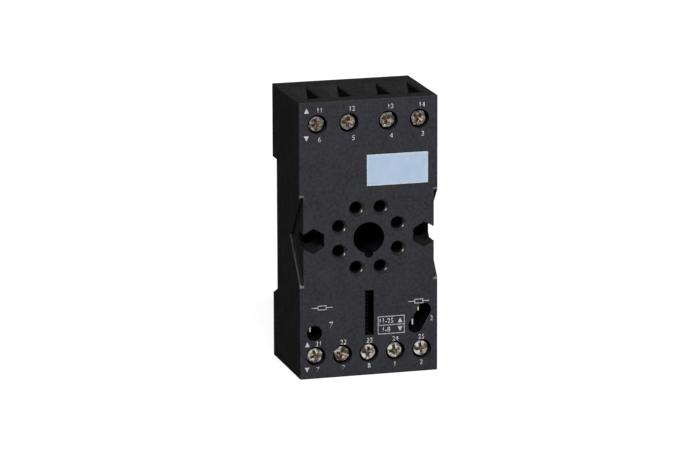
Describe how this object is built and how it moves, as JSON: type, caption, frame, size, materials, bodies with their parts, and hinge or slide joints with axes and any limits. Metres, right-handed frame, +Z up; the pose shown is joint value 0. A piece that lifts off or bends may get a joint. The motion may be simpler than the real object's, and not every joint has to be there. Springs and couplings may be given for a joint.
{
  "type": "relay socket",
  "caption": "Plug-in relay socket with an octal contact ring, rising-cage screw terminals at both ends, a label plate and a sprung rail latch.",
  "frame": {"origin": "centre of the octal key hole, on the front face", "axes": "+Z up the height, +X to the right seen from the front, +Y from the front face to the back"},
  "size_m": [0.038, 0.0275, 0.075],
  "materials": {
    "housing_plastic": "fine-grained dark grey moulded plastic",
    "base_plastic": "dark grey moulded plastic",
    "label_plastic": "smooth pale blue plastic",
    "latch_plastic": "black moulded plastic",
    "spring_steel": "drawn spring wire",
    "contact_brass": "tinned brass sheet",
    "screw_nickel": "nickel-plated steel",
    "cage_steel": "zinc-plated steel"
  },
  "bodies": {
    "socket": {"housing": "housing_plastic", "base_plate": "base_plastic", "label_plate": "label_plastic", "latch_spring": "spring_steel", "contact_strip_1": "contact_brass", "contact_strip_2": "contact_brass", "contact_strip_3": "contact_brass", "contact_strip_4": "contact_brass", "contact_strip_5": "contact_brass", "contact_strip_6": "contact_brass", "contact_strip_7": "contact_brass", "contact_strip_8": "contact_brass"},
    "latch": {"din_latch": "latch_plastic"},
    "screw_1": {"terminal_screw_1": "screw_nickel"},
    "cage_1": {"clamp_cage_1": "cage_steel"},
    "screw_2": {"terminal_screw_2": "screw_nickel"},
    "cage_2": {"clamp_cage_2": "cage_steel"},
    "screw_3": {"terminal_screw_3": "screw_nickel"},
    "cage_3": {"clamp_cage_3": "cage_steel"},
    "screw_4": {"terminal_screw_4": "screw_nickel"},
    "cage_4": {"clamp_cage_4": "cage_steel"},
    "screw_5": {"terminal_screw_5": "screw_nickel"},
    "cage_5": {"clamp_cage_5": "cage_steel"},
    "screw_6": {"terminal_screw_6": "screw_nickel"},
    "cage_6": {"clamp_cage_6": "cage_steel"},
    "screw_7": {"terminal_screw_7": "screw_nickel"},
    "cage_7": {"clamp_cage_7": "cage_steel"},
    "screw_8": {"terminal_screw_8": "screw_nickel"},
    "cage_8": {"clamp_cage_8": "cage_steel"},
    "screw_9": {"terminal_screw_9": "screw_nickel"},
    "cage_9": {"clamp_cage_9": "cage_steel"}
  },
  "joints": [
    {"name": "latch_slide", "type": "slide", "parent": "socket", "child": "latch", "axis": [0, 0, -1], "range_m": [0, 0.003], "stiffness_N_per_m": 1200, "springref_m": -0.0015, "deforming": ["latch_spring"]},
    {"name": "screw_turn_1", "type": "hinge", "parent": "socket", "child": "screw_1", "pos_m": [-0.01397, 0.006, 0.0314], "axis": [0, 1, 0], "range_deg": [0, 2520]},
    {"name": "cage_lift_1", "type": "slide", "parent": "socket", "child": "cage_1", "axis": [0, -1, 0], "range_m": [0, 0.0035]},
    {"name": "screw_turn_2", "type": "hinge", "parent": "socket", "child": "screw_2", "pos_m": [-0.00538, 0.006, 0.0314], "axis": [0, 1, 0], "range_deg": [0, 2520]},
    {"name": "cage_lift_2", "type": "slide", "parent": "socket", "child": "cage_2", "axis": [0, -1, 0], "range_m": [0, 0.0035]},
    {"name": "screw_turn_3", "type": "hinge", "parent": "socket", "child": "screw_3", "pos_m": [0.00538, 0.006, 0.0314], "axis": [0, 1, 0], "range_deg": [0, 2520]},
    {"name": "cage_lift_3", "type": "slide", "parent": "socket", "child": "cage_3", "axis": [0, -1, 0], "range_m": [0, 0.0035]},
    {"name": "screw_turn_4", "type": "hinge", "parent": "socket", "child": "screw_4", "pos_m": [0.01397, 0.006, 0.0314], "axis": [0, 1, 0], "range_deg": [0, 2520]},
    {"name": "cage_lift_4", "type": "slide", "parent": "socket", "child": "cage_4", "axis": [0, -1, 0], "range_m": [0, 0.0035]},
    {"name": "screw_turn_5", "type": "hinge", "parent": "socket", "child": "screw_5", "pos_m": [-0.0146, 0.006, -0.0314], "axis": [0, 1, 0], "range_deg": [0, 2520]},
    {"name": "cage_lift_5", "type": "slide", "parent": "socket", "child": "cage_5", "axis": [0, -1, 0], "range_m": [0, 0.0035]},
    {"name": "screw_turn_6", "type": "hinge", "parent": "socket", "child": "screw_6", "pos_m": [-0.0073, 0.006, -0.0314], "axis": [0, 1, 0], "range_deg": [0, 2520]},
    {"name": "cage_lift_6", "type": "slide", "parent": "socket", "child": "cage_6", "axis": [0, -1, 0], "range_m": [0, 0.0035]},
    {"name": "screw_turn_7", "type": "hinge", "parent": "socket", "child": "screw_7", "pos_m": [0, 0.006, -0.0314], "axis": [0, 1, 0], "range_deg": [0, 2520]},
    {"name": "cage_lift_7", "type": "slide", "parent": "socket", "child": "cage_7", "axis": [0, -1, 0], "range_m": [0, 0.0035]},
    {"name": "screw_turn_8", "type": "hinge", "parent": "socket", "child": "screw_8", "pos_m": [0.0073, 0.006, -0.0314], "axis": [0, 1, 0], "range_deg": [0, 2520]},
    {"name": "cage_lift_8", "type": "slide", "parent": "socket", "child": "cage_8", "axis": [0, -1, 0], "range_m": [0, 0.0035]},
    {"name": "screw_turn_9", "type": "hinge", "parent": "socket", "child": "screw_9", "pos_m": [0.0146, 0.006, -0.0314], "axis": [0, 1, 0], "range_deg": [0, 2520]},
    {"name": "cage_lift_9", "type": "slide", "parent": "socket", "child": "cage_9", "axis": [0, -1, 0], "range_m": [0, 0.0035]}
  ],
  "couplings": [
    {"joint": "screw_turn_1", "follows": "cage_lift_1", "rad_per_m": 12566},
    {"joint": "screw_turn_2", "follows": "cage_lift_2", "rad_per_m": 12566},
    {"joint": "screw_turn_3", "follows": "cage_lift_3", "rad_per_m": 12566},
    {"joint": "screw_turn_4", "follows": "cage_lift_4", "rad_per_m": 12566},
    {"joint": "screw_turn_5", "follows": "cage_lift_5", "rad_per_m": 12566},
    {"joint": "screw_turn_6", "follows": "cage_lift_6", "rad_per_m": 12566},
    {"joint": "screw_turn_7", "follows": "cage_lift_7", "rad_per_m": 12566},
    {"joint": "screw_turn_8", "follows": "cage_lift_8", "rad_per_m": 12566},
    {"joint": "screw_turn_9", "follows": "cage_lift_9", "rad_per_m": 12566}
  ]
}
